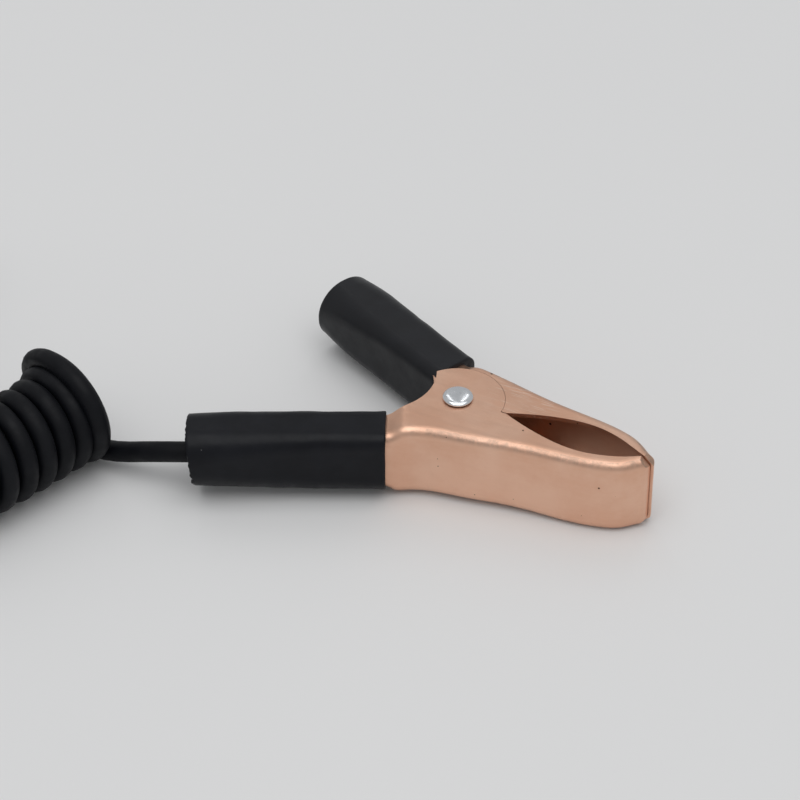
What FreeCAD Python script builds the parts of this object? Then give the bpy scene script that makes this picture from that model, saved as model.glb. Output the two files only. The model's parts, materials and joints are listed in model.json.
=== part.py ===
"""Copper-plated spring clip with two sleeved handles, a coiled lead and a ring terminal.

The clip lies on its side.  +X points to the jaw tips, +Z runs along the pivot rivet, and the
origin is under the middle of the clip, on the surface that it lies on.  Millimetres.
"""
import FreeCAD, Part
import os
from math import atan2, cos, degrees, pi, radians, sin, sqrt, tan

# ---- driving dimensions ------------------------------------------------------------------
PIVOT_X = 2.8              # pivot axis from the origin
PIVOT_Y = 1.4
SIDE_LIFT = 0.6            # the swaged rivet tail holds the stampings this far off the surface

JAW_HEIGHT = 14.0          # outside height of each stamped channel at the jaws
SHEET = 0.75               # steel sheet
BEND = 1.7                 # outside bend radius between web and flanges
MEETING_GAP = 0.08         # half the gap left where the two halves meet
EAR_RADIUS = 8.0           # rounded ears around the pivot
EAR_GROOVE = 0.06          # radial gap between an outer ear and the step beside it
EAR_GAP = 0.10             # gap between the outer and the inner ears
EAR_REAR_ANGLE = 142.0     # where the ear's round edge ends, from +X

HANDLE_ANGLE = 25.2        # each handle from -X
HANDLE_OFFSET = 6.0        # handle centre line from the pivot
WEB_OFFSET = 9.2           # outside of the handle's web from the pivot
FLANGE_OFFSET = 3.0        # free edges of the handle's flanges from the pivot
HANDLE_END = 32.5          # end of the stamped handle, along it from the pivot
HANDLE_DROP = 1.35         # each side of the cable half's handle is this much inside its jaw's
LEVER_DROP = 1.75          # and of the lever half's, whose ears fit inside the others
NOSE_FLARE = 0.6           # the jaws' lower side comes down to the surface at the nose
FLARE_START = 8.0          # from the pivot, along +X
FLARE_END = 27.0
SHOULDER = 13.6            # along the handle, where its straight part starts

CABLE_REACH = 35.3         # nose of the cable half from the pivot
LEVER_REACH = 35.8         # nose of the lever half
NOSE_CUT = 1.8             # the blank's corners are cut off this far behind the nose
NOSE_CUT_HEIGHT = 2.6

RIVET_R = 1.6
RIVET_HEAD_R = 2.6
RIVET_HEAD_RISE = 1.0
RIVET_RIM = 0.28
RIVET_TAIL_R = 2.3
RIVET_BORE_R = 1.05
RUNNING = 0.07             # radial clearance of the lever half on the rivet
SEATED = 0.02              # radial clearance of the cable half on the rivet

SPRING_WIRE = 1.1
SPRING_R = 3.0             # mean radius of the coil
SPRING_PITCH = 1.3
SPRING_LEG_END = 19.0      # along the handle

GRIP_WALL = 0.75
CABLE_GRIP = (12.3, 45.6)  # mouth and end, along the handle
LEVER_GRIP = (8.6, 38.9)
GRIP_SLANT = 1.6           # the cable grip's outer end is cut this far out of square

CORD_R = 1.8               # jacket
STRANDS_R = 0.95
JACKET_START = 26.5        # along the handle
STRANDS_START = 20.5

COIL_R = 9.0               # outside radius of the curly cord
FIRST_TURN_R = 10.0        # its first turn is wider
FIRST_TURN_LENGTH = 3.7

BOOT_R = 2.6
BOOT_LENGTH = 11.0
STUD_HOLE_R = 3.2          # clears an M6 stud
LUG_R = 6.0
LUG_SHEET = 0.8
LUG_REACH = 12.3           # stud hole from the end of the barrel
BARREL_R = 2.1
BARREL_LENGTH = 7.2

HALF = JAW_HEIGHT / 2
Z_AXIS = FreeCAD.Vector(0, 0, 1)


# ---- small helpers -------------------------------------------------------------------------
def vec(x, y, z=0.0):
    return FreeCAD.Vector(x, y, z)


def line(a, b):
    return Part.LineSegment(a, b).toShape()


def polygon_face(points):
    return Part.Face(Part.makePolygon(list(points) + [points[0]]))


def handle_point(along, offset, z=0.0):
    """A point of the cable half's handle: along it from the pivot, and out from its inner side."""
    a = radians(HANDLE_ANGLE)
    return vec(-along * cos(a) + offset * sin(a), -along * sin(a) - offset * cos(a), z)


def along_handle():
    return handle_point(1, 0)


def mirrored(shape):
    """The lever half is built as the cable half is, then mirrored in the plane between them."""
    return shape.mirror(vec(0, 0, 0), vec(0, 1, 0))


def placed(shape):
    """From the pivot's frame, with the stampings' lower side at zero, to the part's frame."""
    moved = shape.copy()
    moved.translate(vec(PIVOT_X, PIVOT_Y, SIDE_LIFT))
    return moved


# ---- the stamped halves --------------------------------------------------------------------
def web_edges(reach, inset):
    """Plan of the web from handle end to nose, moved in by inset: a line, then a smooth curve."""
    start = handle_point(HANDLE_END, WEB_OFFSET)
    shoulder = handle_point(SHOULDER, WEB_OFFSET)
    heading = along_handle() * -1
    through = [shoulder, vec(-2.8, -10.9), vec(5.0, -9.15), vec(12.0, -7.75), vec(19.0, -6.75),
               vec(25.3, -6.0), vec(29.5, -5.0), vec(32.6, -3.4), vec(reach - 0.75, -1.55),
               vec(reach, -MEETING_GAP)]
    curve = Part.BSplineCurve()
    curve.interpolate(Points=through, InitialTangent=heading * 10, FinalTangent=vec(1.5, 9))
    if inset:
        samples = 16
        first, last = curve.FirstParameter, curve.LastParameter
        inner = []
        for i in range(samples + 1):
            u = first + (last - first) * i / samples
            t = curve.tangent(u)[0]
            inner.append(curve.value(u) + vec(-t.y, t.x) * inset)
        curve = Part.BSplineCurve()
        curve.interpolate(Points=inner, InitialTangent=heading * 10, FinalTangent=vec(1.5, 9))
        start = handle_point(HANDLE_END + 3, WEB_OFFSET - inset)
    joint = curve.value(curve.FirstParameter)
    return [line(start, joint), curve.toShape()]


def blank_face(reach):
    """Plan of one half: web, nose, mouth edge, round ear, rear of the ear and handle flange."""
    web = web_edges(reach, 0)
    nose = web[-1].Vertexes[-1].Point
    mouth_points = [vec(reach - 1.7, -MEETING_GAP), vec(32.4, -0.85), vec(28.4, -2.6),
                    vec(23.6, -3.55), vec(17.4, -2.9), vec(12.3, -1.4), vec(8.9, -MEETING_GAP)]
    mouth = Part.BSplineCurve()
    mouth.interpolate(mouth_points)
    ear_start = vec(sqrt(EAR_RADIUS ** 2 - MEETING_GAP ** 2), -MEETING_GAP)
    mid_angle = radians(EAR_REAR_ANGLE / 2)
    rear_angle = radians(EAR_REAR_ANGLE)
    ear_top = vec(EAR_RADIUS * cos(mid_angle), EAR_RADIUS * sin(mid_angle))
    ear_rear = vec(EAR_RADIUS * cos(rear_angle), EAR_RADIUS * sin(rear_angle))
    waist = vec(-5.3, 0.2)
    flange_start = handle_point(12.2, FLANGE_OFFSET)
    flange_end = handle_point(HANDLE_END, FLANGE_OFFSET)
    handle_tip = handle_point(HANDLE_END, WEB_OFFSET)
    edges = web + [
        line(nose, mouth_points[0]),
        mouth.toShape(),
        line(mouth_points[-1], ear_start),
        Part.Arc(ear_start, ear_top, ear_rear).toShape(),
        Part.Arc(ear_rear, waist, flange_start).toShape(),
        line(flange_start, flange_end),
        line(flange_end, handle_tip),
    ]
    return Part.Face(Part.Wire(Part.__sortEdges__(edges)))


def hollow_face(reach):
    """Plan of the space inside the web, run well past every free edge."""
    web = web_edges(reach, SHEET)
    start = web[0].Vertexes[0].Point
    nose = web[-1].Vertexes[-1].Point
    past_nose = nose + vec(1.5, 9) * 0.5
    corners = [nose, past_nose, vec(past_nose.x, 16), vec(-16, 16),
               handle_point(HANDLE_END + 3, -8), start]
    edges = web + [line(a, b) for a, b in zip(corners, corners[1:])]
    return Part.Face(Part.Wire(Part.__sortEdges__(edges)))


def shoulder_wedge(start, end, depth, level, upward):
    """What is cut off a channel above (or below) the curve that narrows it along the handle."""
    side = 1 if upward else -1
    drop = level - side * depth
    far = level + side * 6
    middle = (start + end) / 2
    curve = Part.BezierCurve()
    curve.setPoles([handle_point(start, -20, level), handle_point(middle, -20, level),
                    handle_point(middle, -20, drop), handle_point(end, -20, drop)])
    tail = handle_point(HANDLE_END + 8, -20, drop)
    edges = [curve.toShape(), line(handle_point(end, -20, drop), tail),
             line(tail, handle_point(HANDLE_END + 8, -20, far)),
             line(handle_point(HANDLE_END + 8, -20, far), handle_point(start, -20, far)),
             line(handle_point(start, -20, far), handle_point(start, -20, level))]
    across = handle_point(0, 45)
    return Part.Face(Part.Wire(edges)).extrude(across)


def flare_wedge(level):
    """What is cut off a channel below the gentle curve that lets its nose down."""
    nose_level = level - NOSE_FLARE
    middle = (FLARE_START + FLARE_END) / 2
    curve = Part.BezierCurve()
    curve.setPoles([vec(FLARE_START, -40, level), vec(middle, -40, level),
                    vec(middle, -40, nose_level), vec(FLARE_END, -40, nose_level)])
    corners = [vec(FLARE_END, -40, nose_level), vec(60, -40, nose_level), vec(60, -40, -8),
               vec(-60, -40, -8), vec(-60, -40, level), vec(FLARE_START, -40, level)]
    edges = [curve.toShape()] + [line(a, b) for a, b in zip(corners, corners[1:])]
    return Part.Face(Part.Wire(edges)).extrude(vec(0, 80, 0))


def channel(face, inset, drop, wedges):
    """A face drawn up between the flanges' surfaces, and narrowed along the handle."""
    plate = face.copy()
    plate.translate(vec(0, 0, -4))
    solid = plate.extrude(vec(0, 0, JAW_HEIGHT - inset + 4))
    solid = solid.cut(flare_wedge(inset))
    for start, end, upward in wedges:
        level = JAW_HEIGHT - inset if upward else inset
        solid = solid.cut(shoulder_wedge(start, end, drop, level, upward))
    return solid


def bend_edges(solid, reach, inset):
    """The edges between the web and the two flanges."""
    web = web_edges(reach, inset)
    found = []
    for edge in solid.Edges:
        middle = edge.valueAt((edge.FirstParameter + edge.LastParameter) / 2)
        flat = abs(edge.tangentAt((edge.FirstParameter + edge.LastParameter) / 2).z) < 0.9
        probe = Part.Vertex(vec(middle.x, middle.y))
        near = min(piece.distToShape(probe)[0] for piece in web)
        if near < 0.01 and flat:
            found.append(edge)
    return found


def half(reach, drop, wedges, inner_ear):
    """One stamping: the outside less the hollow, with the sheet's thickness left between."""
    outside = channel(blank_face(reach), 0, drop, wedges)
    hollow = channel(hollow_face(reach), SHEET, drop, wedges)
    outside = outside.makeFillet(BEND, bend_edges(outside, reach, 0))
    hollow = hollow.makeFillet(BEND - SHEET, bend_edges(hollow, reach, SHEET))
    if inner_ear:
        step = SHEET + EAR_GAP
        for level in (JAW_HEIGHT - step, -1):
            disc = Part.makeCylinder(EAR_RADIUS + EAR_GROOVE, step + 1, vec(0, 0, level))
            outside = outside.cut(disc)
        for level in (JAW_HEIGHT - SHEET - step, SHEET - 1):
            disc = Part.makeCylinder(EAR_RADIUS + EAR_GROOVE + SHEET, step + 1, vec(0, 0, level))
            hollow = hollow.cut(disc)
    stamping = outside.cut(hollow)
    # The blank's corners are cut off at the nose.
    for z_edge, side in ((JAW_HEIGHT, -1), (-NOSE_FLARE, 1)):
        corner = polygon_face([vec(reach - NOSE_CUT, -9, z_edge - side * 0.1),
                               vec(reach + 1, -9, z_edge - side * 0.1),
                               vec(reach + 1, -9, z_edge + side * NOSE_CUT_HEIGHT)])
        stamping = stamping.cut(corner.extrude(vec(0, 10, 0)))
    hole = RIVET_R + (RUNNING if inner_ear else SEATED)
    stamping = stamping.cut(Part.makeCylinder(hole, JAW_HEIGHT + 2, vec(0, 0, -1)))
    return stamping


def crimp(start, length, inner_r):
    """Two tabs of the web closed round the lead, with the seam left open on the inner side."""
    outer_r = inner_r + 0.7
    axis = handle_point(1, 0)
    ring = Part.makeCylinder(outer_r, length, handle_point(start, HANDLE_OFFSET, HALF), axis)
    web_inside = WEB_OFFSET - SHEET
    foot_points = [handle_point(start, HANDLE_OFFSET, HALF - inner_r * 0.7),
                   handle_point(start, web_inside + 0.1, HALF - inner_r * 0.7),
                   handle_point(start, web_inside + 0.1, HALF + inner_r * 0.7),
                   handle_point(start, HANDLE_OFFSET, HALF + inner_r * 0.7)]
    foot = polygon_face(foot_points).extrude(axis * length)
    slot_points = [handle_point(start - 1, HANDLE_OFFSET, HALF - 0.2),
                   handle_point(start - 1, 0, HALF - 0.2),
                   handle_point(start - 1, 0, HALF + 0.2),
                   handle_point(start - 1, HANDLE_OFFSET, HALF + 0.2)]
    slot = polygon_face(slot_points).extrude(axis * (length + 2))
    bore = Part.makeCylinder(inner_r, length + 2, handle_point(start - 1, HANDLE_OFFSET, HALF), axis)
    return ring.fuse(foot).cut(bore).cut(slot)


def cable_jaw():
    wedges = [(8.3, 12.6, True), (9.9, 12.9, False)]
    stamping = half(CABLE_REACH, HANDLE_DROP, wedges, False)
    stamping = stamping.fuse(crimp(JACKET_START + 1.0, 4.2, CORD_R + SEATED))
    return stamping.fuse(crimp(22.3, 3.0, STRANDS_R + SEATED))


def lever_jaw():
    wedges = [(3.4, 8.0, True), (3.4, 8.0, False)]
    return mirrored(half(LEVER_REACH, LEVER_DROP, wedges, True))


# ---- pivot rivet and spring ----------------------------------------------------------------
def pivot_rivet():
    """Domed head above, plain shank, hollow end swaged outwards below."""
    rise = RIVET_HEAD_RISE - RIVET_RIM
    ball_r = (RIVET_HEAD_R ** 2 + rise ** 2) / (2 * rise)
    rim_top = JAW_HEIGHT + RIVET_RIM
    rim = Part.makeCylinder(RIVET_HEAD_R, RIVET_RIM, vec(0, 0, JAW_HEIGHT))
    ball = Part.makeSphere(ball_r, vec(0, 0, rim_top + rise - ball_r))
    cap = ball.common(Part.makeCylinder(RIVET_HEAD_R, RIVET_HEAD_RISE, vec(0, 0, rim_top)))
    shank = Part.makeCylinder(RIVET_R, JAW_HEIGHT + SIDE_LIFT, vec(0, 0, -SIDE_LIFT))
    tail = Part.makeCylinder(RIVET_TAIL_R, SIDE_LIFT, vec(0, 0, -SIDE_LIFT))
    bore = Part.makeCylinder(RIVET_BORE_R, 3.0, vec(0, 0, -SIDE_LIFT))
    return rim.fuse(cap).fuse(shank).fuse(tail).cut(bore).removeSplitter()


def spring_leg_start():
    """Where a straight leg leaves the coil to reach the web: angle from the pivot, and its end."""
    contact = WEB_OFFSET - SHEET - SPRING_WIRE / 2 - 0.05
    end = handle_point(SPRING_LEG_END, contact)
    towards = atan2(end.y, end.x)
    return towards + atan2(sqrt(end.Length ** 2 - SPRING_R ** 2), SPRING_R), end


def torsion_spring():
    """Coil round the rivet, with one leg on each handle's web."""
    lower_angle, lower_end = spring_leg_start()
    sweep_turns = 5 + ((-2 * lower_angle / (2 * pi)) % 1)
    height = sweep_turns * SPRING_PITCH
    low = HALF - height / 2
    helix = Part.makeHelix(SPRING_PITCH, height, SPRING_R)
    helix.rotate(vec(0, 0, 0), Z_AXIS, degrees(lower_angle))
    helix.translate(vec(0, 0, low))
    start = vec(SPRING_R * cos(lower_angle), SPRING_R * sin(lower_angle), low)
    along = vec(-sin(lower_angle), cos(lower_angle), SPRING_PITCH / (2 * pi * SPRING_R))
    section = Part.Wire(Part.Circle(start, along, SPRING_WIRE / 2).toShape())
    coil = Part.Wire(helix.Edges).makePipeShell([section], True, True)
    legs = []
    for z, flip in ((low, 1), (low + height, -1)):
        foot = vec(start.x, start.y * flip, z)
        tip = vec(lower_end.x, lower_end.y * flip, z)
        run = tip - foot
        legs.append(Part.makeCylinder(SPRING_WIRE / 2, run.Length, foot, run))
        legs.append(Part.makeSphere(SPRING_WIRE / 2, foot))
    return coil.multiFuse(legs)


# ---- sleeves -------------------------------------------------------------------------------
def rounded_section(along, half_height, half_width, corner):
    """A rounded rectangle square to the handle, around its centre line."""
    def at(u, w):
        return handle_point(along, HANDLE_OFFSET + u, HALF + w)

    turn = corner * (1 - sqrt(0.5))
    edges = []
    corners = [(1, 1), (-1, 1), (-1, -1), (1, -1)]
    for i, (su, sw) in enumerate(corners):
        side_point = at(su * half_width, sw * (half_height - corner))
        flat_point = at(su * (half_width - corner), sw * half_height)
        middle = at(su * (half_width - turn), sw * (half_height - turn))
        arc = (side_point, middle, flat_point) if i % 2 == 0 else (flat_point, middle, side_point)
        edges.append(Part.Arc(*arc).toShape())
        nu, nw = corners[(i + 1) % 4]
        if i % 2 == 0:
            following = at(nu * (half_width - corner), nw * half_height)
        else:
            following = at(nu * half_width, nw * (half_height - corner))
        edges.append(line(arc[2], following))
    return Part.Wire(edges)


def sleeve(start, end, sections, slant):
    """A soft tube: flattened on the stamping at its mouth, round where nothing fills it."""
    def skin(inset):
        wires = []
        for fraction, half_height, half_width, corner in sections:
            along = start + (end - start) * fraction
            wires.append(rounded_section(along, half_height - inset, half_width - inset,
                                         corner - inset))
        return Part.makeLoft(wires, True, False)

    tube = skin(0).cut(skin(GRIP_WALL))
    if slant:
        low = handle_point(end - slant, -6, -3)
        high = handle_point(end, -6, JAW_HEIGHT + 1)
        past_high = handle_point(end + 8, -6, JAW_HEIGHT + 1)
        past_low = handle_point(end + 8, -6, -3)
        knife = polygon_face([low, high, past_high, past_low]).extrude(handle_point(0, 24))
        tube = tube.cut(knife)
    return tube


# Fraction of the length, half height, half width and corner radius, from mouth to outer end.
CABLE_SECTIONS = [(0.0, 6.5, 4.55, 2.35), (0.07, 6.45, 4.5, 2.3), (0.45, 6.45, 4.9, 2.9),
                  (0.8, 6.2, 5.6, 4.2), (1.0, 5.9, 5.85, 5.7)]
LEVER_SECTIONS = [(0.0, 6.15, 4.5, 2.3), (0.07, 6.1, 4.5, 2.3), (0.45, 6.15, 4.8, 2.8),
                  (0.8, 6.15, 5.6, 4.2), (1.0, 5.9, 5.85, 5.7)]


def cable_grip():
    return sleeve(*CABLE_GRIP, CABLE_SECTIONS, GRIP_SLANT)


def lever_grip():
    return mirrored(sleeve(*LEVER_GRIP, LEVER_SECTIONS, 0))


# ---- lead, curly cord, tail and terminal -----------------------------------------------------
def rounded_path(points):
    """Straight runs joined by arcs, each as large as its two runs allow; prints the radii."""
    edges = []
    radii = []
    start = points[0]
    for before, corner, after in zip(points, points[1:], points[2:]):
        arriving = corner - before
        leaving = after - corner
        shorter = min(arriving.Length, leaving.Length)
        half_turn = arriving.getAngle(leaving) / 2
        radius = 0.45 * shorter / tan(half_turn)
        setback = 0.45 * shorter
        arriving.normalize()
        leaving.normalize()
        first = corner - arriving * setback
        last = corner + leaving * setback
        inward = leaving - arriving
        inward.normalize()
        middle = corner + inward * (radius / cos(half_turn) - radius)
        edges.append(line(start, first))
        edges.append(Part.Arc(first, middle, last).toShape())
        start = last
        radii.append(round(radius, 1))
    edges.append(line(start, points[-1]))
    print("   radii", radii, "turns", [round(degrees(a), 1) for a in turns(points)])
    return Part.Wire(edges)


def turns(points):
    return [(b - a).getAngle(c - b) for a, b, c in zip(points, points[1:], points[2:])]


def tube_along(name, points, radius):
    path = rounded_path(points)
    section = Part.Wire(Part.Circle(points[0], points[1] - points[0], radius).toShape())
    tube = path.makePipeShell([section], True, True)
    print(name, "length %.1f, volume %.1f, section x length %.1f"
          % (path.Length, tube.Volume, pi * radius ** 2 * path.Length))
    return tube


def lead_route():
    inside = [handle_point(JACKET_START, HANDLE_OFFSET, HALF),
              handle_point(36.4, HANDLE_OFFSET + 0.15, HALF - 0.1),
              handle_point(46.2, HANDLE_OFFSET + 0.05, HALF - 0.3)]
    return inside + [vec(-45.7, -25.9, 4.9), vec(-53.3, -26.3, 2.2), vec(-60.6, -25.4, 1.3)]


def coil_route():
    height = COIL_R - SIDE_LIFT
    return [vec(-61.4, -25.9, height), vec(-66.7, -42.1, height), vec(-73.6, -57.6, height),
            vec(-88.6, -65.6, height), vec(-105.3, -62.6, height), vec(-116.7, -50.0, height),
            vec(-117.9, -33.0, height), vec(-117.2, -22.0, height)]


def tail_route():
    floor = CORD_R - SIDE_LIFT
    return [vec(-116.8, -22.8, floor), vec(-106.2, -22.7, floor + 0.1), vec(-97.4, -16.8, floor + 0.3),
            vec(-95.7, -6.5, BOOT_R - SIDE_LIFT - 0.1), vec(-102.0, 1.9, BOOT_R - SIDE_LIFT)]


def terminal_frame():
    """Start of the boot, and the way that it points."""
    route = tail_route()
    heading = route[-1] - route[-2]
    heading.z = 0
    heading.normalize()
    return route[-1], heading


def lead_conductor():
    start = handle_point(STRANDS_START, HANDLE_OFFSET, HALF)
    length = JACKET_START - STRANDS_START
    return Part.makeCylinder(STRANDS_R, length, start, along_handle())


def lead_cord():
    return tube_along("lead_cord", lead_route(), CORD_R)


def coil_cord():
    route = coil_route()
    body = tube_along("coil_cord", route, COIL_R)
    heading = route[1] - route[0]
    heading.normalize()
    rim_start = route[0] - heading * (FIRST_TURN_LENGTH / 2)
    rim_start.z = FIRST_TURN_R + 0.1 - SIDE_LIFT
    rim = Part.makeCylinder(FIRST_TURN_R, FIRST_TURN_LENGTH, rim_start, heading)
    return body.fuse(rim)


def tail_cord():
    return tube_along("tail_cord", tail_route(), CORD_R)


def terminal_boot():
    start, heading = terminal_frame()
    outside = Part.makeCone(CORD_R + 0.35, BOOT_R, 4.0, start, heading)
    body = Part.makeCylinder(BOOT_R, BOOT_LENGTH - 4.0, start + heading * 4.0, heading)
    bore = Part.makeCylinder(BARREL_R + SEATED, BOOT_LENGTH, start + heading * 4.0, heading)
    return outside.fuse(body).cut(bore)


def ring_terminal():
    """Crimped barrel, neck and flat ring, lying on the surface."""
    start, heading = terminal_frame()
    aside = heading.cross(Z_AXIS)
    barrel_start = start + heading * 5.0
    barrel = Part.makeCylinder(BARREL_R, BARREL_LENGTH, barrel_start, heading)
    bore = Part.makeCylinder(BARREL_R - LUG_SHEET, BARREL_LENGTH - 1, barrel_start, heading)
    level = start.z - BARREL_R
    stud = barrel_start + heading * (BARREL_LENGTH + LUG_REACH)
    stud.z = level
    neck_start = barrel_start + heading * (BARREL_LENGTH - 1.1)
    neck_start.z = level
    neck = polygon_face([neck_start + aside * 1.9, stud + aside * 2.6,
                         stud - aside * 2.6, neck_start - aside * 1.9])
    neck = neck.extrude(vec(0, 0, LUG_SHEET))
    lug = Part.makeCylinder(LUG_R, LUG_SHEET, stud)
    hole = Part.makeCylinder(STUD_HOLE_R, 4, stud - vec(0, 0, 1))
    print("stud hole at", placed(Part.Vertex(stud)).Point)
    return barrel.fuse(neck).fuse(lug).cut(bore).cut(hole)


PIECES = {
    "cable_jaw": cable_jaw,
    "lever_jaw": lever_jaw,
    "pivot_rivet": pivot_rivet,
    "torsion_spring": torsion_spring,
    "cable_grip": cable_grip,
    "lever_grip": lever_grip,
    "lead_conductor": lead_conductor,
    "lead_cord": lead_cord,
    "coil_cord": coil_cord,
    "tail_cord": tail_cord,
    "terminal_boot": terminal_boot,
    "ring_terminal": ring_terminal,
}


def main():
    os.makedirs("parts", exist_ok=True)
    for name, make in PIECES.items():
        shape = placed(make())
        bounds = shape.BoundBox
        print("%-15s valid %s, solids %d, volume %.1f, x %.2f..%.2f y %.2f..%.2f z %.2f..%.2f"
              % (name, shape.isValid(), len(shape.Solids), shape.Volume, bounds.XMin, bounds.XMax,
                 bounds.YMin, bounds.YMax, bounds.ZMin, bounds.ZMax))
        shape.exportStep("parts/" + name + ".step")


main()
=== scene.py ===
"""Copper-plated spring clip with two sleeved handles, a curly cord and a ring terminal.

Lengths are in millimetres where a name or comment doesn't say otherwise, and become metres in
at() and in the MM factor.  The CAD model gives the pivot, and everything is placed from it.
"""

import json
from math import acos, atan2, cos, exp, hypot, pi, radians, sin

import bmesh
import bpy
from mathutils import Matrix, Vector, noise


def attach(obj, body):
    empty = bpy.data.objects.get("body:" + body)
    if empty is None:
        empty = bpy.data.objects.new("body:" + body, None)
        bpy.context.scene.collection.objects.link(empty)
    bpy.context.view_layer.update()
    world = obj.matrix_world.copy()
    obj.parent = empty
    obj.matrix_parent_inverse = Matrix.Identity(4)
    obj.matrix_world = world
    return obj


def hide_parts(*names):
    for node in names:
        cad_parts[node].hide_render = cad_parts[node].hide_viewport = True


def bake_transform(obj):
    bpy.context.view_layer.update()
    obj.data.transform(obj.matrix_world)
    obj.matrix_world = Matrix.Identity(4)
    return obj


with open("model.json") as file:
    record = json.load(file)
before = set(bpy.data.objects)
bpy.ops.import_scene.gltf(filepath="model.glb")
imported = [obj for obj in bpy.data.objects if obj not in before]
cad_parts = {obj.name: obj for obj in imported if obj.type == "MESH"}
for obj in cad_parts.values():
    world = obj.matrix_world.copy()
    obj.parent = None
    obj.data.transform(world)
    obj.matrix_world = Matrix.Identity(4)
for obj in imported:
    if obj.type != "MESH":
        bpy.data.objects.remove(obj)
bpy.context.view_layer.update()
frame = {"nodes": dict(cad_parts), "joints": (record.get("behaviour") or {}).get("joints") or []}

MM = 0.001
UP = Vector((0, 0, 1))

# ---- places shared with the CAD model -------------------------------------------------------
JAW_HEIGHT = 14.0
HALF = JAW_HEIGHT / 2
PIVOT = Vector(frame["joints"][0]["pos_m"])
BASE = PIVOT - UP * HALF * MM     # on the pivot axis, level with the stampings' lower side
SIDE_LIFT = 0.6                   # of that point above the surface
HANDLE_ANGLE = 25.2
HANDLE_OFFSET = 6.0
WEB_INSIDE = 8.45

CORD_R = 1.8
CORD_HEIGHT = CORD_R - SIDE_LIFT  # of the middle of a cord that lies on the surface


def at(x, y, z=0.0):
    """A point given from the pivot axis and the stampings' lower side, in the row frame."""
    return BASE + Vector((x, y, z)) * MM


def handle_xy(along, out):
    """A point of the cable half's handle: along it from the pivot, and out from its inner side."""
    a = radians(HANDLE_ANGLE)
    return (-along * cos(a) + out * sin(a), -along * sin(a) - out * cos(a))


def on_handle(along, out, z, side=-1):
    """The same point in the row frame; side is -1 for the cable half and 1 for the lever half."""
    x, y = handle_xy(along, out)
    return at(x, -side * y, z)


# ---- camera ---------------------------------------------------------------------------------
AZIMUTH = 26.0
ELEVATION = 40.0
CAMERA_DISTANCE = 0.5517          # metres, from the place it looks at
LOOKS_AT = Vector((-9.47, 4.20, 7.6)) * MM


def direction(azimuth, elevation):
    """Unit vector from the object towards a place seen at this azimuth and elevation."""
    a = radians(azimuth)
    e = radians(elevation)
    return Vector((sin(a) * cos(e), -cos(a) * cos(e), sin(e)))


def make_camera():
    data = bpy.data.cameras.new("camera")
    data.lens = 144
    data.sensor_width = 36
    data.clip_start = 0.02
    data.clip_end = 20
    camera = bpy.data.objects.new("camera", data)
    back = direction(AZIMUTH, ELEVATION)
    camera.location = LOOKS_AT + back * CAMERA_DISTANCE
    camera.rotation_euler = (-back).to_track_quat("-Z", "Y").to_euler()
    bpy.context.scene.collection.objects.link(camera)
    bpy.context.scene.camera = camera


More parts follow.
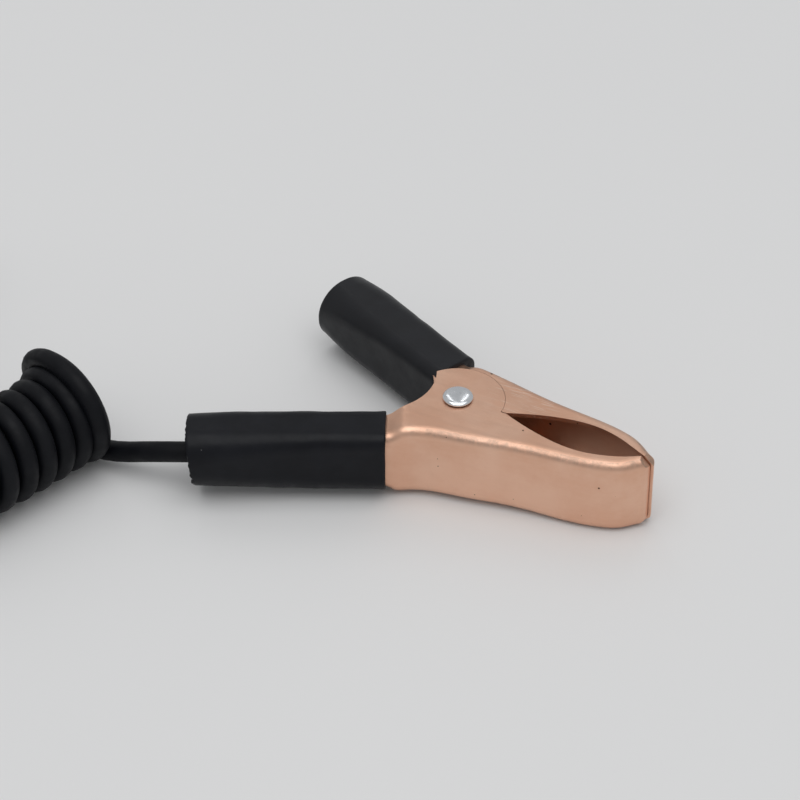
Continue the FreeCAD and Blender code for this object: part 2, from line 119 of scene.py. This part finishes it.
# ---- materials ------------------------------------------------------------------------------
class Finish:
    """A material with one Principled surface, and short ways to add the nodes that feed it."""

    def __init__(self, name, color, roughness, metallic=0.0, **sockets):
        self.material = bpy.data.materials.new(name)
        self.material.use_nodes = True
        self.tree = self.material.node_tree
        self.surface = self.tree.nodes["Principled BSDF"]
        self.coords = self.add("TexCoord").outputs["Object"]
        self.feed("Base Color", (*color, 1))
        self.feed("Roughness", roughness)
        self.feed("Metallic", metallic)
        for socket, value in sockets.items():
            self.feed(socket.replace("_", " "), value)

    def add(self, kind, inputs=None, **settings):
        node = self.tree.nodes.new("ShaderNode" + kind)
        for name, value in settings.items():
            setattr(node, name, value)
        for name, value in (inputs or {}).items():
            self.join(value, node.inputs[name])
        return node

    def join(self, value, socket):
        if isinstance(value, bpy.types.NodeSocket):
            self.tree.links.new(value, socket)
        else:
            socket.default_value = value

    def feed(self, socket, value):
        self.join(value, self.surface.inputs[socket])

    def stretched(self, scale, turn=(0, 0, 0)):
        inputs = {"Vector": self.coords, "Scale": scale, "Rotation": turn}
        return self.add("Mapping", inputs).outputs["Vector"]

    def noise(self, per_metre, detail=2.0, vector=None, rough=0.5):
        inputs = {"Vector": vector or self.coords, "Scale": per_metre, "Detail": detail,
                  "Roughness": rough}
        return self.add("TexNoise", inputs).outputs["Fac"]

    def ramp(self, value, low, high, start=0.0, end=1.0):
        """Goes smoothly from start to end while the value goes from low to high."""
        inputs = {"Value": value, "From Min": low, "From Max": high, "To Min": start, "To Max": end}
        return self.add("MapRange", inputs, interpolation_type="SMOOTHSTEP").outputs["Result"]

    def math(self, operation, a, b=0.0):
        return self.add("Math", {0: a, 1: b}, operation=operation).outputs[0]

    def mix(self, factor, a, b):
        """Colour a where factor is 0 and b where it is 1; each is a socket or three numbers."""
        node = self.add("Mix", data_type="RGBA")
        self.join(factor, node.inputs[0])
        colors = [socket for socket in node.inputs if socket.type == "RGBA"]
        for value, socket in zip((a, b), colors):
            self.join(value if isinstance(value, bpy.types.NodeSocket) else (*value, 1), socket)
        return next(socket for socket in node.outputs if socket.type == "RGBA")

    def specks(self, per_metre, share, size, vector=None):
        """Round spots of uneven size in a share of the cells of a grid: 1 inside, 0 outside."""
        inputs = {"Vector": vector or self.coords, "Scale": per_metre}
        cells = self.add("TexVoronoi", inputs)
        chance = self.add("SeparateColor", {"Color": cells.outputs["Color"]})
        chosen = self.math("LESS_THAN", chance.outputs["Red"], share)
        sized = {0: chance.outputs["Green"], 1: size, 2: size * 0.35}
        radius = self.add("Math", sized, operation="MULTIPLY_ADD").outputs[0]
        inside = self.math("LESS_THAN", cells.outputs["Distance"], radius)
        return self.math("MULTIPLY", chosen, inside)

    def reach(self, place):
        """Distance from a place, in metres."""
        inputs = {0: self.coords, 1: place}
        return self.add("VectorMath", inputs, operation="DISTANCE").outputs["Value"]

    def bump(self, height, millimetres, normal=None):
        inputs = {"Height": height, "Distance": millimetres * MM, "Strength": 1.0}
        if normal:
            inputs["Normal"] = normal
        return self.add("Bump", inputs).outputs["Normal"]


def copper_plate():
    """Satin copper plating on drawn steel: cloudy colour, drawing marks, specks and fine rubs."""
    f = Finish("copper_plate", (0.79, 0.50, 0.36), 0.33, 1.0)
    clouds = f.noise(70, 5, rough=0.6)
    color = f.mix(f.ramp(clouds, 0.35, 0.68), (0.78, 0.465, 0.325), (0.85, 0.555, 0.41))
    # Painted shade: the colour is darker and mottled along the bends between web and flanges, to
    # dim the overhead light's highlight where the surface neither lies flat nor stands upright, but
    # not on the shoulder by the cable sleeve.
    facing = f.add("NewGeometry").outputs["Normal"]
    lean = f.math("ABSOLUTE", f.add("SeparateXYZ", {"Vector": facing}).outputs["Z"])
    bend = f.math("MULTIPLY", f.ramp(lean, 0.3, 0.75), f.ramp(lean, 0.91, 0.955, 1.0, 0.0))
    off_shoulder = f.ramp(f.reach(on_handle(10.0, 5.0, JAW_HEIGHT)), 0.0032, 0.0048)
    bend = f.math("MULTIPLY", bend, off_shoulder)
    # Painted shade over the bend's highlight, mottled by noise.
    bend_painted_shade = f.math("MULTIPLY", bend, f.ramp(f.noise(900, 4, rough=0.7), 0.35, 0.65, 0.2, 0.8))
    color = f.mix(bend_painted_shade, color, (0.44, 0.30, 0.23))
    stain = f.ramp(f.noise(160, 6, rough=0.7), 0.60, 0.80, 0.0, 0.40)
    color = f.mix(stain, color, (0.62, 0.35, 0.25))
    spots = f.specks(600, 0.30, 0.06)
    pits = f.specks(250, 0.85, 0.075)
    marks = f.math("MAXIMUM", spots, pits)
    color = f.mix(f.math("MULTIPLY", marks, 0.9), color, (0.10, 0.045, 0.028))
    # Rubs: thin pale lines on one patch of the lever half's side, in front of the rivet.
    lines = f.noise(1.0, 2, f.stretched((260, 5200, 900), (0, 0, radians(28))))
    patch = f.ramp(f.reach(at(10.0, 5.5, JAW_HEIGHT)), 0.002, 0.009, 1.0, 0.0)
    rubs = f.math("MULTIPLY", f.ramp(lines, 0.56, 0.66), patch)
    color = f.mix(f.math("MULTIPLY", rubs, 0.6), color, (0.95, 0.80, 0.70))
    f.feed("Base Color", color)
    drawn = f.noise(1.0, 3, f.stretched((90, 1300, 1300), (0, 0, radians(-12))))
    satin = f.ramp(drawn, 0.3, 0.7, 0.34, 0.45)
    f.feed("Roughness", f.math("MAXIMUM", satin, f.math("MULTIPLY", marks, 0.85)))
    grain = f.bump(f.noise(2600, 3), 0.010)
    drawn_in = f.bump(drawn, 0.018, grain)
    waves = f.bump(f.noise(120, 2), 0.12, drawn_in)
    f.feed("Normal", waves)
    return f.material


def sleeve_vinyl(name, painted_lift):
    """Soft black PVC, a satin skin with scuffs and a little dust; the lift makes it greyer, painted
    light for a more brightly lit sleeve.
    """
    f = Finish(name, (0.004, 0.0044, 0.0062), 0.40, Specular_IOR_Level=0.20)
    cloudy = f.noise(130, 4, rough=0.6)
    # The lift lightens both tones: painted light that makes a lit copy of the vinyl.
    deep = [value + painted_lift for value in (0.0030, 0.0035, 0.0058)]
    pale = [value + painted_lift for value in (0.0056, 0.0064, 0.0096)]
    color = f.mix(f.ramp(cloudy, 0.35, 0.7), deep, pale)
    dust = f.specks(700, 0.02, 0.09)
    smears = f.ramp(f.noise(380, 6, rough=0.75), 0.66, 0.82, 0.0, 0.30)
    color = f.mix(smears, color, (0.030, 0.031, 0.034))
    color = f.mix(f.math("MULTIPLY", dust, 0.55), color, (0.20, 0.20, 0.20))
    f.feed("Base Color", color)
    f.feed("Roughness", f.ramp(f.noise(300, 5, rough=0.65), 0.3, 0.7, 0.34, 0.47))
    skin = f.bump(f.noise(2400, 3), 0.008)
    f.feed("Normal", f.bump(f.noise(260, 3), 0.08, skin))
    return f.material


def cord_jacket():
    """Matt black rubbery jacket with a fine grain and dust in places."""
    f = Finish("cord_jacket", (0.0035, 0.0038, 0.0048), 0.55, Specular_IOR_Level=0.17)
    cloudy = f.ramp(f.noise(170, 4), 0.35, 0.7)
    color = f.mix(cloudy, (0.0026, 0.0030, 0.0048), (0.0054, 0.0060, 0.0082))
    dust = f.specks(620, 0.03, 0.09)
    color = f.mix(f.math("MULTIPLY", dust, 0.5), color, (0.22, 0.22, 0.21))
    f.feed("Base Color", color)
    f.feed("Roughness", f.ramp(f.noise(420, 4), 0.3, 0.7, 0.46, 0.62))
    grain = f.bump(f.noise(3200, 3), 0.012)
    f.feed("Normal", f.bump(f.noise(520, 2), 0.03, grain))
    return f.material


def bright_rivet():
    f = Finish("bright_rivet", (0.80, 0.82, 0.85), 0.16, 1.0)
    scuffs = f.noise(1.0, 3, f.stretched((900, 4200, 900), (0, 0, radians(40))))
    color = f.mix(f.ramp(scuffs, 0.62, 0.75), (0.80, 0.82, 0.85), (0.55, 0.57, 0.60))
    f.feed("Base Color", color)
    f.feed("Roughness", f.ramp(f.noise(900, 5), 0.3, 0.75, 0.12, 0.28))
    f.feed("Normal", f.bump(f.noise(650, 2), 0.03))
    return f.material


def spring_steel():
    f = Finish("spring_steel", (0.50, 0.50, 0.52), 0.28, 1.0)
    color = f.mix(f.ramp(f.noise(700, 4), 0.4, 0.7), (0.55, 0.55, 0.58), (0.36, 0.35, 0.34))
    f.feed("Base Color", color)
    f.feed("Roughness", f.ramp(f.noise(1500, 3), 0.3, 0.7, 0.22, 0.38))
    f.feed("Normal", f.bump(f.noise(2500, 2), 0.008))
    return f.material


def bare_copper():
    f = Finish("bare_copper", (0.86, 0.47, 0.30), 0.25, 1.0)
    color = f.mix(f.ramp(f.noise(900, 4), 0.4, 0.7), (0.90, 0.52, 0.34), (0.60, 0.28, 0.17))
    f.feed("Base Color", color)
    f.feed("Roughness", f.ramp(f.noise(1800, 2), 0.3, 0.7, 0.2, 0.36))
    return f.material


def tinned_brass():
    f = Finish("tinned_brass", (0.76, 0.76, 0.74), 0.28, 1.0)
    color = f.mix(f.ramp(f.noise(420, 5), 0.35, 0.7), (0.80, 0.80, 0.78), (0.62, 0.62, 0.60))
    f.feed("Base Color", color)
    f.feed("Roughness", f.ramp(f.noise(1100, 4), 0.3, 0.7, 0.22, 0.40))
    f.feed("Normal", f.bump(f.noise(900, 3), 0.02))
    return f.material


def pale_floor():
    f = Finish("pale_floor", (0.80, 0.80, 0.80), 0.62, Specular_IOR_Level=0.25)
    f.feed("Base Color", f.mix(f.noise(9, 3), (0.785, 0.785, 0.787), (0.81, 0.81, 0.81)))
    return f.material


# ---- mesh helpers ---------------------------------------------------------------------------
def new_piece(name, vertices, faces, material, sharp=35):
    mesh = bpy.data.meshes.new(name)
    mesh.from_pydata([tuple(v) for v in vertices], [], faces)
    mesh.validate()
    mesh.polygons.foreach_set("use_smooth", [True] * len(mesh.polygons))
    mesh.set_sharp_from_angle(angle=radians(sharp))
    mesh.materials.append(material)
    piece = bpy.data.objects.new(name, mesh)
    bpy.context.scene.collection.objects.link(piece)
    return piece


def rings_to_faces(rings, count, closed):
    """Quads between rings of count points each, and back to the first ring if closed."""
    faces = []
    for r in range(rings if closed else rings - 1):
        low = r * count
        high = (r + 1) % rings * count
        for i in range(count):
            j = (i + 1) % count
            faces.append((low + i, low + j, high + j, high + i))
    return faces


def lathe(name, profile, origin, axis, material, count=96, sharp=35):
    """Turns a profile of (radius, distance along the axis) about the axis from the origin."""
    turn = UP.rotation_difference(axis).to_matrix()
    vertices = []
    for radius, along in profile:
        for i in range(count):
            a = 2 * pi * i / count
            spot = Vector((radius * cos(a), radius * sin(a), along)) * MM
            vertices.append(origin + turn @ spot)
    piece = new_piece(name, vertices, rings_to_faces(len(profile), count, False), material, sharp)
    return merged(piece)


def merged(piece):
    """Joins points in one place, such as a profile's end on its axis, and turns faces outwards."""
    same_place = 0.002 * MM
    shape = bmesh.new()
    shape.from_mesh(piece.data)
    bmesh.ops.remove_doubles(shape, verts=shape.verts, dist=same_place)
    bmesh.ops.recalc_face_normals(shape, faces=shape.faces)
    shape.to_mesh(piece.data)
    shape.free()
    return piece


def arc_profile(centre, radius, start, end, steps):
    """Points of a profile round a rounded edge, from one angle to another in degrees."""
    found = []
    for i in range(steps + 1):
        a = radians(start + (end - start) * i / steps)
        found.append((centre[0] + radius * cos(a), centre[1] + radius * sin(a)))
    return found


def curve_piece(name, lines, radius, material):
    """A round wire along one or more smooth open splines, whose control points are given."""
    data = bpy.data.curves.new(name, "CURVE")
    data.dimensions = "3D"
    data.resolution_u = 4
    data.bevel_depth = radius
    data.bevel_resolution = 6
    data.use_fill_caps = True
    for points in lines:
        spline = data.splines.new("NURBS")
        spline.points.add(len(points) - 1)
        for point, place in zip(spline.points, points):
            point.co = (*place, 1)
        spline.order_u = 3
        spline.use_endpoint_u = True
    if material:
        data.materials.append(material)
    piece = bpy.data.objects.new(name, data)
    bpy.context.scene.collection.objects.link(piece)
    return piece


def as_mesh(piece):
    """The same piece with its curve turned into a mesh."""
    bpy.context.view_layer.update()
    graph = bpy.context.evaluated_depsgraph_get()
    mesh = bpy.data.meshes.new_from_object(piece.evaluated_get(graph))
    name = piece.name
    bpy.data.objects.remove(piece)
    mesh.polygons.foreach_set("use_smooth", [True] * len(mesh.polygons))
    made = bpy.data.objects.new(name, mesh)
    bpy.context.scene.collection.objects.link(made)
    return made


def smooth_line(points):
    """Closely spaced points of the smooth spline that has the given control points."""
    piece = curve_piece("route", [points], 0.0, None)
    piece.data.resolution_u = 24
    made = as_mesh(piece)
    line = [v.co.copy() for v in made.data.vertices]
    bpy.data.objects.remove(made)
    return line


# ---- cord -----------------------------------------------------------------------------------
LEAD_ROUTE = [
    on_handle(26.5, 6.0, 7.0),
    on_handle(36.4, 6.15, 6.9),
    on_handle(46.2, 6.05, 6.7),
    at(-45.7, -25.9, 4.9),
    at(-53.3, -26.3, 2.2),
    at(-60.6, -25.4, 1.3),
]
COIL_AXIS = [
    at(-60.5, -26.1, 8.4),
    at(-65.9, -42.2, 8.4),
    at(-73.6, -57.6, 8.4),
    at(-88.6, -65.6, 8.4),
    at(-105.3, -62.6, 8.4),
    at(-116.7, -50.0, 8.4),
    at(-117.9, -33.0, 8.4),
    at(-117.2, -22.0, 8.4),
]
TAIL_ROUTE = [
    at(-106.2, -22.7, CORD_HEIGHT + 0.1),
    at(-97.4, -16.8, CORD_HEIGHT + 0.3),
    at(-95.7, -6.5, 1.9),
    at(-102.0, 1.9, 2.0),
]
FIRST_TURN_R = 8.4       # of the middle of the cord
TURN_R = 7.22            # the same for the other turns
NARROWS = (0.85, 1.6)    # the turns between which the radius goes from one to the other
FIRST_TURN_LEAN = 1.7    # the first turn's top leans on the smaller second turn
FIRST_TURN_SWING = 2.9   # it swings wide where the lead rises into it
SWING_KEPT = 0.4         # share of the swing that each next turn keeps
SWING_SPAN = 0.51        # share of a turn in which it swings out and back
PITCH = 3.71
BEFORE_AXIS = 0.6        # turns before the start of the axis
TURNS = 25
POINTS_PER_TURN = 16
FIRST_STEP = 2           # the lead lies flat until the first turn lifts it
CORNER_CUT = cos(pi / POINTS_PER_TURN)   # the spline's radius as a share of its control points'
OFF_SURFACE = 0.08       # the coil clears the surface by this


def smoothstep(value, low, high):
    """0 up to low, 1 from high on, and a smooth rise between them."""
    t = min(1, max(0, (value - low) / (high - low)))
    return t * t * (3 - 2 * t)


class Axis:
    """The line that the cord winds round, flat on plan, followed by distance."""

    def __init__(self, control_points):
        self.points = smooth_line(control_points)
        self.places = [0.0]
        for a, b in zip(self.points, self.points[1:]):
            self.places.append(self.places[-1] + (b - a).length)

    def at(self, distance):
        """Place and heading; the line runs on straight past both ends."""
        last = len(self.points) - 2
        i = max(k for k in range(last + 1) if k == 0 or self.places[k] <= distance)
        heading = (self.points[i + 1] - self.points[i]).normalized()
        return self.points[i] + heading * (distance - self.places[i]), heading

    def bend(self, distance):
        """Turn per metre, averaged over a turn of the cord."""
        reach = 4 * MM
        before = self.at(distance - reach)[1]
        after = self.at(distance + reach)[1]
        return before.angle(after) / (2 * reach)


def coil_turns():
    """Control points of the helix; its turns touch on the inner side where the axis bends."""
    axis = Axis(COIL_AXIS)
    distance = -BEFORE_AXIS * PITCH * MM
    found = []
    for step in range(FIRST_STEP, TURNS * POINTS_PER_TURN + 1):
        turn = step / POINTS_PER_TURN
        radius = FIRST_TURN_R + (TURN_R - FIRST_TURN_R) * smoothstep(turn, *NARROWS)
        centre, heading = axis.at(distance)
        centre.z = (radius + CORD_R + OFF_SURFACE) * MM
        side = Vector((heading.y, -heading.x, 0))
        a = 2 * pi * turn
        outwards = side * sin(a) - UP * cos(a)
        nestled = heading * FIRST_TURN_LEAN * (1 - cos(a)) / 2 if turn < 1 else Vector()
        out_and_back = sin(pi * min(1, turn % 1 / SWING_SPAN))
        swing = side * FIRST_TURN_SWING * SWING_KEPT ** int(turn) * out_and_back
        found.append(centre + (outwards * radius / CORNER_CUT + nestled + swing) * MM)
        room = 1 - axis.bend(distance) * radius * MM
        distance += PITCH * MM / POINTS_PER_TURN / room
    return found


def make_cord(material):
    """The whole cord as one spline, whose tail runs on a little into the boot."""
    into_boot = TAIL_ROUTE[-1] + (TAIL_ROUTE[-1] - TAIL_ROUTE[-2]).normalized() * 3 * MM
    into_boot.z = TAIL_ROUTE[-1].z
    route = LEAD_ROUTE + coil_turns() + TAIL_ROUTE + [into_boot]
    cord = curve_piece("cord", [route], CORD_R * MM, material)
    cord.data.resolution_u = 3
    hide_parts("lead_cord", "coil_cord", "tail_cord")
    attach(cord, "cable_half")
    return cord


# ---- sleeves --------------------------------------------------------------------------------
GRIP_WALL = 0.75
RIM = 0.16                # rounding of the sleeves' rims
MOUTH_LIP = 1.2           # the wall is this much thicker where it closes on the stamping
MOUTH_FLARE = 0.08
SWELL = 0.10              # soft unevenness between the two ends
# Fraction of the length, half height, half width and corner radius, from mouth to outer end.
CABLE_SECTIONS = [(0.0, 6.45, 4.5, 2.3), (0.45, 6.4, 4.8, 2.9), (0.8, 6.15, 5.5, 4.0),
                  (1.0, 5.9, 5.8, 4.9)]
LEVER_SECTIONS = [(0.0, 6.1, 4.5, 2.3), (0.45, 6.15, 4.8, 2.8), (0.8, 6.15, 5.6, 4.2),
                  (1.0, 5.9, 5.85, 5.6)]


def between(sections, fraction):
    """Half height, half width and corner radius, on a smooth line through the sections."""
    last = len(sections) - 1
    k = next((i for i in range(last) if fraction <= sections[i + 1][0]), last - 1)
    low, high = sections[k], sections[k + 1]
    before, after = sections[max(0, k - 1)], sections[min(last, k + 2)]
    span = high[0] - low[0]
    t = (fraction - low[0]) / span
    found = []
    for b, l, h, a in zip(before[1:], low[1:], high[1:], after[1:]):
        rise_in = (h - b) / (high[0] - before[0]) * span
        rise_out = (a - l) / (after[0] - low[0]) * span
        cubic = (rise_in + rise_out - 2 * (h - l)) * t ** 3
        square = (3 * (h - l) - 2 * rise_in - rise_out) * t ** 2
        found.append(l + rise_in * t + square + cubic)
    return found


def outline_point(way_round, half_u, half_w, corner):
    """A point of a rounded rectangle, by the share of the way round from its +u side's middle."""
    flat_u = half_u - corner
    flat_w = half_w - corner
    arc = corner * pi / 2
    quadrant = int(way_round * 4) % 4
    t = way_round * 4 % 1
    if quadrant % 2:
        t = 1 - t
    distance = t * (flat_u + flat_w + arc)
    if distance < flat_w:
        u, w = half_u, distance
    elif distance < flat_w + arc:
        a = (distance - flat_w) / corner
        u, w = flat_u + corner * cos(a), flat_w + corner * sin(a)
    else:
        u, w = flat_u + flat_w + arc - distance, half_w
    return (u if quadrant in (0, 3) else -u, w if quadrant < 2 else -w)


def sleeve(name, side, start, end, sections, slant, ragged, low_rounding, material):
    """A dipped tube: it grips the stamping at its mouth and goes round towards its outer end."""
    count = 128
    steps = 90
    length = end - start
    # Once round the wall: out along its outer face, over the end's rim, back along its inner face.
    loop = [(i / steps, 0.0) for i in range(steps + 1)]
    loop += [(1.0 + RIM / length, RIM), (1.0 + RIM / length, GRIP_WALL - RIM)]
    loop += [(i / steps, GRIP_WALL) for i in range(steps, -1, -1)]
    loop += [(-RIM / length, GRIP_WALL - RIM), (-RIM / length, RIM)]
    vertices = []
    for fraction, inset in loop:
        inside = min(1, max(0, fraction))
        half_w, half_u, corner = between(sections, inside)
        from_mouth = inside * length
        flare = MOUTH_FLARE * exp(-(from_mouth / 1.1) ** 2)
        lip = MOUTH_LIP * exp(-(from_mouth / 1.4) ** 2) if inset > RIM else 0.0
        inner = inset + lip
        low_corner = min(corner + low_rounding, half_u - 0.1)
        for i in range(count):
            way_round = i / count
            turned = (low_corner if way_round > 0.5 else corner) - inner
            u, w = outline_point(way_round, half_u - inner, half_w - inner, turned)
            reach = hypot(u, w)
            spot = Vector((fraction * 9, cos(2 * pi * way_round), sin(2 * pi * way_round)))
            swell = SWELL * noise.noise(spot * 1.1 + Vector((side * 5, 0, 0))) * sin(pi * inside)
            grow = 1 + (flare + swell) / reach
            # The outer end's cut slants and is ragged, more so low down; the mouth's edge waves.
            cut = -slant * (1 - w / half_w) / 2
            edge = ragged * (noise.noise(spot * 7) + 0.6 * noise.noise(spot * 19))
            low_side = 0.25 + 0.75 * smoothstep(-w, -2.5, 2.5)
            mouth_edge = 0.12 * noise.noise(Vector((40, spot.y * 1.6, spot.z * 1.6)))
            along = start + length * fraction + (cut + edge * low_side) * inside ** 6
            along += mouth_edge * (1 - inside) ** 8
            vertices.append(on_handle(along, HANDLE_OFFSET + u * grow, HALF + w * grow, side))
    faces = rings_to_faces(len(loop), count, True)
    return merged(new_piece(name, vertices, faces, material, 50))


def make_sleeves(cable_vinyl, lever_vinyl_painted_lighter):
    cable = sleeve("cable_sleeve", -1, 12.3, 45.6, CABLE_SECTIONS, 1.6, 0.55, 1.5, cable_vinyl)
    lever = sleeve("lever_sleeve", 1, 8.2, 38.9, LEVER_SECTIONS, 0.0, 0.05, 0.3, lever_vinyl_painted_lighter)
    for piece, node, body in ((cable, "cable_grip", "cable_half"),
                              (lever, "lever_grip", "lever_half")):
        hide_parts(node)
        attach(piece, body)


# ---- rivet, spring and strands --------------------------------------------------------------
def make_rivet(material):
    """A low domed head with a thick round rim that stands off the ear; a swaged hollow tail."""
    head_r = 2.6
    top = JAW_HEIGHT + 1.0
    dome = [(head_r * 0.965 * sin(radians(a)), top - 0.50 * (1 - cos(radians(a))))
            for a in range(0, 84, 4)]
    profile = dome + arc_profile((head_r - 0.2, top - 0.62), 0.2, 60, -90, 10)
    profile += [(1.8, JAW_HEIGHT + 0.22), (1.6, JAW_HEIGHT), (1.6, 0.05), (2.15, 0.0)]
    profile += arc_profile((2.05, -0.25), 0.25, 80, -60, 6)
    profile += arc_profile((1.45, -0.35), 0.25, -90, -180, 5)
    profile += [(1.05, 0.2), (1.05, 2.2), (0.9, 2.4), (0.0, 2.5)]
    rivet = lathe("rivet", profile, at(0, 0), UP, material)
    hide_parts("pivot_rivet")
    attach(rivet, "cable_half")


SPRING_WIRE = 1.1
SPRING_R = 3.0
SPRING_PITCH = 1.3
SPRING_TURNS = 5          # whole ones, before the part turn that brings the second leg out
SPRING_LEG_END = 19.0


def make_spring(material):
    """A torsion coil round the rivet: its low leg is on the cable half's web, its high leg on
    the lever half's."""
    end_x, end_y = handle_xy(SPRING_LEG_END, WEB_INSIDE - SPRING_WIRE / 2 - 0.05)
    first = atan2(end_y, end_x) + acos(SPRING_R / hypot(end_x, end_y))
    sweep = SPRING_TURNS + (-2 * first / (2 * pi)) % 1
    height = sweep * SPRING_PITCH
    low = HALF - height / 2
    steps = int(sweep * 20)
    points = [at(end_x, end_y, low)]
    for i in range(steps + 1):
        a = first + 2 * pi * sweep * i / steps
        points.append(at(SPRING_R * cos(a), SPRING_R * sin(a), low + height * i / steps))
    points.append(at(end_x, -end_y, low + height))
    # The legs are straight: a second point next to the coil keeps the spline's turn short.
    points.insert(1, points[0].lerp(points[1], 0.93))
    points.insert(-1, points[-1].lerp(points[-2], 0.93))
    spring = as_mesh(curve_piece("spring", [points], SPRING_WIRE / 2 * MM, material))
    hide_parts("torsion_spring")
    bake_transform(spring)


STRAND_R = 0.31
STRANDS_CUT = 20.5        # from the cut end, along the handle,
STRANDS_END = 26.8        # to just inside the jacket
STRANDS_LAY = 11          # length of one twist
SPLAY = 1.6               # the length next to the cut that spreads


def make_strands(material):
    """Seven twisted strands between the jacket and the strands' crimp, splayed at the cut end."""
    steps = 14
    lines = []
    for k in range(7):
        points = []
        for i in range(steps + 1):
            along = STRANDS_CUT + (STRANDS_END - STRANDS_CUT) * i / steps
            splay = 1 + 0.18 * smoothstep(STRANDS_CUT + SPLAY - along, 0, SPLAY)
            spread = STRAND_R * 2 * splay if k else 0.0
            a = 2 * pi * (k / 6 + (along - STRANDS_CUT) / STRANDS_LAY)
            cut = 0.25 * sin(k * 2.4) if i == 0 else 0.0
            out = HANDLE_OFFSET + spread * cos(a)
            points.append(on_handle(along + cut, out, HALF + spread * sin(a)))
        lines.append(points)
    strands = as_mesh(curve_piece("strands", lines, STRAND_R * MM, material))
    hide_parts("lead_conductor")
    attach(strands, "cable_half")


# ---- terminal -------------------------------------------------------------------------------
def make_boot(material):
    """A vinyl boot over the terminal's barrel, with a bead at each end and grip rings."""
    start = TAIL_ROUTE[-1].copy()
    heading = TAIL_ROUTE[-1] - TAIL_ROUTE[-2]
    heading.z = 0
    heading.normalize()
    outside = [(2.0, 0.0), (2.15, 0.08), (2.2, 0.3), (2.2, 0.8), (2.12, 1.0)]
    for i in range(4):
        ridge = 1.5 + i * 0.9
        wider = i * 0.09
        outside += [(2.14 + wider, ridge - 0.25), (2.30 + wider, ridge)]
        outside += [(2.16 + i * 0.1, ridge + 0.25)]
    outside += [(2.52, 5.2), (2.5, 9.8), (2.6, 10.3), (2.6, 10.75), (2.5, 10.95), (2.3, 11.0)]
    inside = [(2.14, 10.9), (2.12, 4.2), (1.84, 3.9), (1.82, 0.1), (2.0, 0.0)]
    boot = lathe("boot", outside + inside, start, heading, material, 72, 60)
    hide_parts("terminal_boot")
    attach(boot, "cable_half")
    return boot


# ---- floor, light and assembly --------------------------------------------------------------
def make_floor(material):
    half = 6.0
    corners = [(-half, -half, 0), (half, -half, 0), (half, half, 0), (-half, half, 0)]
    floor = new_piece("floor", corners, [(0, 1, 2, 3)], material)


def softbox(name, azimuth, elevation, distance, width, height, watts):
    """A rectangular light that faces the part; distance, width and height are in metres."""
    data = bpy.data.lights.new(name, "AREA")
    data.shape = "RECTANGLE"
    data.size = width
    data.size_y = height
    data.energy = watts
    light = bpy.data.objects.new(name, data)
    back = direction(azimuth, elevation)
    light.location = back * distance
    light.rotation_euler = (-back).to_track_quat("-Z", "Y").to_euler()
    bpy.context.scene.collection.objects.link(light)


def make_lights():
    """A pale surround, a broad light overhead and two narrow ones for the rivet's highlights."""
    world = bpy.data.worlds.new("studio")
    world.use_nodes = True
    surround = world.node_tree.nodes["Background"].inputs
    surround["Color"].default_value = (0.98, 0.99, 1.0, 1)
    surround["Strength"].default_value = 0.46
    bpy.context.scene.world = world
    for name, aside in (("rear_left", -18), ("rear_right", 18)):
        softbox(name, AZIMUTH + 180 + aside, 50, 1.3, 0.10, 0.6, 0.3)
    softbox("overhead", AZIMUTH, 79, 1.4, 1.6, 1.3, 9.2)


def paint(node, material):
    for place in frame["nodes"][node].material_slots:
        place.material = material


bpy.context.scene.view_settings.view_transform = "Standard"
make_camera()
jacket = cord_jacket()
vinyl = sleeve_vinyl("sleeve_vinyl", 0.0)
boot = make_boot(vinyl)
make_cord(jacket)
# The lever sleeve gets a lighter copy of the vinyl, painted light for its brighter-lit side.
make_sleeves(vinyl, sleeve_vinyl("lever_vinyl_painted_lighter", 0.011))
make_rivet(bright_rivet())
make_spring(spring_steel())
make_strands(bare_copper())
copper = copper_plate()
paint("cable_jaw", copper)
paint("lever_jaw", copper)
paint("ring_terminal", tinned_brass())
make_floor(pale_floor())
make_lights()
